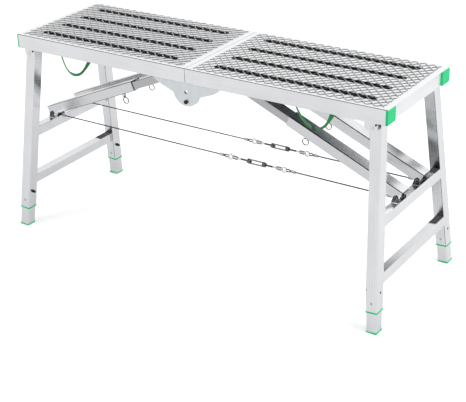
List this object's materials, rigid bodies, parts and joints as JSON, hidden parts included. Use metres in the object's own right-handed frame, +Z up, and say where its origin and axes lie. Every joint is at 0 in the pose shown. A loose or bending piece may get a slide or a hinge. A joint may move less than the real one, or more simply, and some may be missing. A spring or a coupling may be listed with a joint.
{
  "type": "work platform bench",
  "caption": "Folding work platform bench: two hinged deck halves with an open diamond mesh top on splayed leg frames with telescopic feet, braces and wire ties.",
  "frame": {"origin": "on the floor under the middle of the deck", "axes": "+X along the platform, +Y to the rear, +Z up"},
  "size_m": [1.4376, 0.5504, 0.7],
  "materials": {
    "deck_aluminium": "satin mill finish sheet, faint rolling grain",
    "mesh_aluminium": "bright satin strands, slightly worn on top",
    "tube_aluminium": "satin extruded tube with fine lengthwise lines",
    "zinc_steel": "zinc plated steel fittings",
    "wire_rope": "twisted steel wire rope",
    "green_plastic": "moulded green plastic, fine satin grain",
    "green_webbing": "woven green webbing with a yellow centre stripe"
  },
  "bodies": {
    "left_deck": {"left_deck_panel": "deck_aluminium", "left_deck_mesh": "mesh_aluminium", "left_front_rail": "deck_aluminium", "left_rear_rail": "deck_aluminium", "left_rail_caps": "green_plastic", "left_cross_members": "deck_aluminium", "left_hinge_plates": "zinc_steel", "left_pivot_bolts": "zinc_steel", "left_carry_strap": "green_webbing"},
    "left_leg_frame": {"left_front_leg": "tube_aluminium", "left_rear_leg": "tube_aluminium", "left_upper_rung": "tube_aluminium", "left_lower_rung": "tube_aluminium", "left_leg_collars": "green_plastic"},
    "right_deck": {"right_deck_panel": "deck_aluminium", "right_deck_mesh": "mesh_aluminium", "right_front_rail": "deck_aluminium", "right_rear_rail": "deck_aluminium", "right_rail_caps": "green_plastic", "right_cross_members": "deck_aluminium", "right_hinge_plates": "zinc_steel", "right_pivot_bolts": "zinc_steel", "right_carry_strap": "green_webbing"},
    "right_leg_frame": {"right_front_leg": "tube_aluminium", "right_rear_leg": "tube_aluminium", "right_upper_rung": "tube_aluminium", "right_lower_rung": "tube_aluminium", "right_leg_collars": "green_plastic"},
    "left_tie": {"left_front_tie_wire": "wire_rope", "left_rear_tie_wire": "wire_rope"},
    "left_front_foot": {"left_front_foot_tube": "tube_aluminium", "left_front_foot_pad": "green_plastic"},
    "left_front_lock_pin": {"left_front_foot_lock_pin": "zinc_steel"},
    "left_front_brace_upper": {"left_front_brace_inner": "tube_aluminium"},
    "left_front_brace_lower": {"left_front_brace_outer": "tube_aluminium"},
    "left_front_brace_pin": {"left_front_brace_pull_pin": "zinc_steel"},
    "left_rear_foot": {"left_rear_foot_tube": "tube_aluminium", "left_rear_foot_pad": "green_plastic"},
    "left_rear_lock_pin": {"left_rear_foot_lock_pin": "zinc_steel"},
    "left_rear_brace_upper": {"left_rear_brace_inner": "tube_aluminium"},
    "left_rear_brace_lower": {"left_rear_brace_outer": "tube_aluminium"},
    "left_rear_brace_pin": {"left_rear_brace_pull_pin": "zinc_steel"},
    "right_tie": {"right_front_tie_wire": "wire_rope", "right_rear_tie_wire": "wire_rope"},
    "right_front_foot": {"right_front_foot_tube": "tube_aluminium", "right_front_foot_pad": "green_plastic"},
    "right_front_lock_pin": {"right_front_foot_lock_pin": "zinc_steel"},
    "right_front_brace_upper": {"right_front_brace_inner": "tube_aluminium"},
    "right_front_brace_lower": {"right_front_brace_outer": "tube_aluminium"},
    "right_front_brace_pin": {"right_front_brace_pull_pin": "zinc_steel"},
    "right_rear_foot": {"right_rear_foot_tube": "tube_aluminium", "right_rear_foot_pad": "green_plastic"},
    "right_rear_lock_pin": {"right_rear_foot_lock_pin": "zinc_steel"},
    "right_rear_brace_upper": {"right_rear_brace_inner": "tube_aluminium"},
    "right_rear_brace_lower": {"right_rear_brace_outer": "tube_aluminium"},
    "right_rear_brace_pin": {"right_rear_brace_pull_pin": "zinc_steel"},
    "turnbuckle_eyes": {"turnbuckle_eye_bolts": "zinc_steel"},
    "front_turnbuckle": {"front_turnbuckle": "zinc_steel"},
    "rear_turnbuckle": {"rear_turnbuckle": "zinc_steel"}
  },
  "joints": [
    {"name": "centre_fold", "type": "hinge", "parent": "left_deck", "child": "right_deck", "pos_m": [0, 0, 0.587], "axis": [0, 1, 0], "range_deg": [0, 90]},
    {"name": "left_leg_fold", "type": "hinge", "parent": "left_deck", "child": "left_leg_frame", "pos_m": [-0.652, 0, 0.635], "axis": [0, -1, 0], "range_deg": [0, 93.96], "deforming": ["left_front_tie_wire", "left_rear_tie_wire", "left_carry_strap"]},
    {"name": "left_tie_swing", "type": "hinge", "parent": "left_leg_frame", "child": "left_tie", "pos_m": [-0.6652, 0, 0.364], "axis": [0, -1, 0], "range_deg": [-126.35, 0]},
    {"name": "left_front_foot_slide", "type": "slide", "parent": "left_leg_frame", "child": "left_front_foot", "axis": [-0.0685, -0.1252, -0.9898], "range_m": [-0.045, 0.03]},
    {"name": "left_front_lock_pin_pull", "type": "slide", "parent": "left_leg_frame", "child": "left_front_lock_pin", "axis": [0.9976, 0, -0.0691], "range_m": [0, 0.008], "stiffness_N_per_m": 800},
    {"name": "left_front_brace_swing", "type": "hinge", "parent": "left_deck", "child": "left_front_brace_upper", "pos_m": [-0.036, -0.0725, 0.66], "axis": [0, 1, 0], "range_deg": [0, 23.1]},
    {"name": "left_front_brace_slide", "type": "slide", "parent": "left_front_brace_upper", "child": "left_front_brace_lower", "axis": [0.9201, 0, 0.3917], "range_m": [0, 0.0905]},
    {"name": "left_front_brace_pin_pull", "type": "slide", "parent": "left_front_brace_lower", "child": "left_front_brace_pin", "axis": [0.3917, 0, -0.9201], "range_m": [0, 0.008], "stiffness_N_per_m": 800},
    {"name": "left_rear_foot_slide", "type": "slide", "parent": "left_leg_frame", "child": "left_rear_foot", "axis": [-0.0685, 0.1252, -0.9898], "range_m": [-0.045, 0.03]},
    {"name": "left_rear_lock_pin_pull", "type": "slide", "parent": "left_leg_frame", "child": "left_rear_lock_pin", "axis": [0.9976, 0, -0.0691], "range_m": [0, 0.008], "stiffness_N_per_m": 800},
    {"name": "left_rear_brace_swing", "type": "hinge", "parent": "left_deck", "child": "left_rear_brace_upper", "pos_m": [-0.036, 0.0725, 0.66], "axis": [0, 1, 0], "range_deg": [0, 23.1]},
    {"name": "left_rear_brace_slide", "type": "slide", "parent": "left_rear_brace_upper", "child": "left_rear_brace_lower", "axis": [0.9201, 0, 0.3917], "range_m": [0, 0.0905]},
    {"name": "left_rear_brace_pin_pull", "type": "slide", "parent": "left_rear_brace_lower", "child": "left_rear_brace_pin", "axis": [0.3917, 0, -0.9201], "range_m": [0, 0.008], "stiffness_N_per_m": 800},
    {"name": "right_leg_fold", "type": "hinge", "parent": "right_deck", "child": "right_leg_frame", "pos_m": [0.652, 0, 0.635], "axis": [0, 1, 0], "range_deg": [0, 93.96], "deforming": ["right_front_tie_wire", "right_rear_tie_wire", "right_carry_strap"]},
    {"name": "right_tie_swing", "type": "hinge", "parent": "right_leg_frame", "child": "right_tie", "pos_m": [0.6652, 0, 0.364], "axis": [0, 1, 0], "range_deg": [-135, 0]},
    {"name": "right_front_foot_slide", "type": "slide", "parent": "right_leg_frame", "child": "right_front_foot", "axis": [0.0685, -0.1252, -0.9898], "range_m": [-0.045, 0.03]},
    {"name": "right_front_lock_pin_pull", "type": "slide", "parent": "right_leg_frame", "child": "right_front_lock_pin", "axis": [-0.9976, 0, -0.0691], "range_m": [0, 0.008], "stiffness_N_per_m": 800},
    {"name": "right_front_brace_swing", "type": "hinge", "parent": "right_deck", "child": "right_front_brace_upper", "pos_m": [0.036, -0.0725, 0.66], "axis": [0, -1, 0], "range_deg": [0, 23.1]},
    {"name": "right_front_brace_slide", "type": "slide", "parent": "right_front_brace_upper", "child": "right_front_brace_lower", "axis": [-0.9201, 0, 0.3917], "range_m": [0, 0.0905]},
    {"name": "right_front_brace_pin_pull", "type": "slide", "parent": "right_front_brace_lower", "child": "right_front_brace_pin", "axis": [-0.3917, 0, -0.9201], "range_m": [0, 0.008], "stiffness_N_per_m": 800},
    {"name": "right_rear_foot_slide", "type": "slide", "parent": "right_leg_frame", "child": "right_rear_foot", "axis": [0.0685, 0.1252, -0.9898], "range_m": [-0.045, 0.03]},
    {"name": "right_rear_lock_pin_pull", "type": "slide", "parent": "right_leg_frame", "child": "right_rear_lock_pin", "axis": [-0.9976, 0, -0.0691], "range_m": [0, 0.008], "stiffness_N_per_m": 800},
    {"name": "right_rear_brace_swing", "type": "hinge", "parent": "right_deck", "child": "right_rear_brace_upper", "pos_m": [0.036, 0.0725, 0.66], "axis": [0, -1, 0], "range_deg": [0, 23.1]},
    {"name": "right_rear_brace_slide", "type": "slide", "parent": "right_rear_brace_upper", "child": "right_rear_brace_lower", "axis": [-0.9201, 0, 0.3917], "range_m": [0, 0.0905]},
    {"name": "right_rear_brace_pin_pull", "type": "slide", "parent": "right_rear_brace_lower", "child": "right_rear_brace_pin", "axis": [-0.3917, 0, -0.9201], "range_m": [0, 0.008], "stiffness_N_per_m": 800},
    {"name": "turnbuckle_take_up", "type": "slide", "parent": "right_tie", "child": "turnbuckle_eyes", "axis": [1, 0, 0], "range_m": [0, 0.1825]},
    {"name": "front_turnbuckle_spin", "type": "hinge", "parent": "turnbuckle_eyes", "child": "front_turnbuckle", "pos_m": [0.172, -0.0725, 0.364], "axis": [1, 0, 0], "continuous": true},
    {"name": "rear_turnbuckle_spin", "type": "hinge", "parent": "turnbuckle_eyes", "child": "rear_turnbuckle", "pos_m": [0.172, 0.0725, 0.364], "axis": [1, 0, 0], "continuous": true}
  ],
  "couplings": [
    {"joint": "left_tie_swing", "follows": "left_leg_fold", "ratio": -1.3415},
    {"joint": "left_front_brace_swing", "follows": "left_leg_fold", "ratio": 0.2454},
    {"joint": "left_front_brace_slide", "follows": "left_leg_fold", "m_per_rad": 0.05488},
    {"joint": "left_rear_brace_swing", "follows": "left_leg_fold", "ratio": 0.2454},
    {"joint": "left_rear_brace_slide", "follows": "left_leg_fold", "m_per_rad": 0.05488},
    {"joint": "right_tie_swing", "follows": "right_leg_fold", "ratio": -1.4336},
    {"joint": "right_front_brace_swing", "follows": "right_leg_fold", "ratio": 0.2454},
    {"joint": "right_front_brace_slide", "follows": "right_leg_fold", "m_per_rad": 0.05488},
    {"joint": "right_rear_brace_swing", "follows": "right_leg_fold", "ratio": 0.2454},
    {"joint": "right_rear_brace_slide", "follows": "right_leg_fold", "m_per_rad": 0.05488},
    {"joint": "turnbuckle_take_up", "follows": "right_leg_fold", "m_per_rad": 0.11067}
  ]
}
